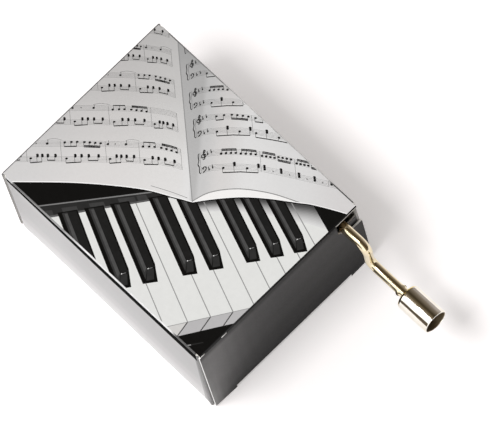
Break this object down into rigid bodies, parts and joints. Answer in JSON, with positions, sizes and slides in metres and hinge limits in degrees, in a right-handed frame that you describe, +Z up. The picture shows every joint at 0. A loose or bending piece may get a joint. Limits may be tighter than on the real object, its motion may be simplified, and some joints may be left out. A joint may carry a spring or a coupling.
{
  "type": "music box",
  "caption": "Hand-cranked comb-and-cylinder music box in a printed folding carton, with a bent metal crank and turned knob at one end.",
  "frame": {"origin": "centre of the carton's underside", "axes": "+X towards the crank end, +Y towards the side wall next to the crank, +Z up"},
  "size_m": [0.0923, 0.0494, 0.033],
  "materials": {
    "printed_board": "coated carton board with a flat print",
    "raw_board": "uncoated inner side of the board",
    "softwood": "planed, unvarnished",
    "zinc_casting": "die-cast zinc, satin",
    "spring_steel": "ground",
    "brass": "satin",
    "nickel_plating": "bright nickel plating with a warm tone",
    "nylon": "natural nylon"
  },
  "bodies": {
    "carton": {"carton_sleeve": "printed_board", "glue_flap": "raw_board", "crank_end_dust_flap_left": "printed_board", "crank_end_dust_flap_right": "printed_board", "back_end_dust_flap_left": "printed_board", "back_end_dust_flap_right": "printed_board", "riser_block": "softwood", "base_plate": "zinc_casting", "base_screw_1": "spring_steel", "base_screw_2": "spring_steel", "base_screw_3": "spring_steel", "comb": "spring_steel", "comb_screw_1": "spring_steel", "comb_screw_2": "spring_steel", "bearing_bracket": "zinc_casting", "bracket_screw": "spring_steel", "worm_housing": "nylon", "housing_screw_1": "spring_steel", "housing_screw_2": "spring_steel"},
    "crank": {"worm_shaft": "nylon", "crank_rod": "nickel_plating", "knob_retainer": "spring_steel"},
    "crank_knob": {"knob": "nickel_plating"},
    "pinned_cylinder": {"cylinder": "brass", "cylinder_disc_left": "brass", "cylinder_disc_right": "brass", "cylinder_arbor": "spring_steel", "worm_wheel": "brass"},
    "crank_end_flap": {"crank_end_panel": "printed_board"},
    "crank_end_tuck": {"crank_end_tongue": "printed_board"},
    "back_end_flap": {"back_end_panel": "printed_board"},
    "back_end_tuck": {"back_end_tongue": "printed_board"}
  },
  "joints": [
    {"name": "crank_turn", "type": "hinge", "parent": "carton", "child": "crank", "pos_m": [0.032, 0.01975, 0.029], "axis": [1, 0, 0], "continuous": true},
    {"name": "knob_spin", "type": "hinge", "parent": "crank", "child": "crank_knob", "pos_m": [0.0503, 0.01975, 0.0199], "axis": [1, 0, 0], "continuous": true},
    {"name": "cylinder_spin", "type": "hinge", "parent": "carton", "child": "pinned_cylinder", "pos_m": [0.012, 0, 0.0206], "axis": [0, 1, 0], "continuous": true},
    {"name": "crank_end_hinge", "type": "hinge", "parent": "carton", "child": "crank_end_flap", "pos_m": [0.03177, 0, 0.03277], "axis": [0, -1, 0], "range_deg": [0, 25]},
    {"name": "crank_end_tuck_fold", "type": "hinge", "parent": "crank_end_flap", "child": "crank_end_tuck", "pos_m": [0.03177, 0, 0.00097], "axis": [0, -1, 0], "range_deg": [-15, 0]},
    {"name": "back_end_hinge", "type": "hinge", "parent": "carton", "child": "back_end_flap", "pos_m": [-0.03177, 0, 0.03277], "axis": [0, 1, 0], "range_deg": [0, 90]},
    {"name": "back_end_tuck_fold", "type": "hinge", "parent": "back_end_flap", "child": "back_end_tuck", "pos_m": [-0.03177, 0, 0.00097], "axis": [0, 1, 0], "range_deg": [-54, 0]}
  ],
  "couplings": [
    {"joint": "cylinder_spin", "follows": "crank_turn", "ratio": -0.0625},
    {"joint": "crank_end_tuck_fold", "follows": "crank_end_hinge", "ratio": -0.6},
    {"joint": "back_end_tuck_fold", "follows": "back_end_hinge", "ratio": -0.6}
  ]
}
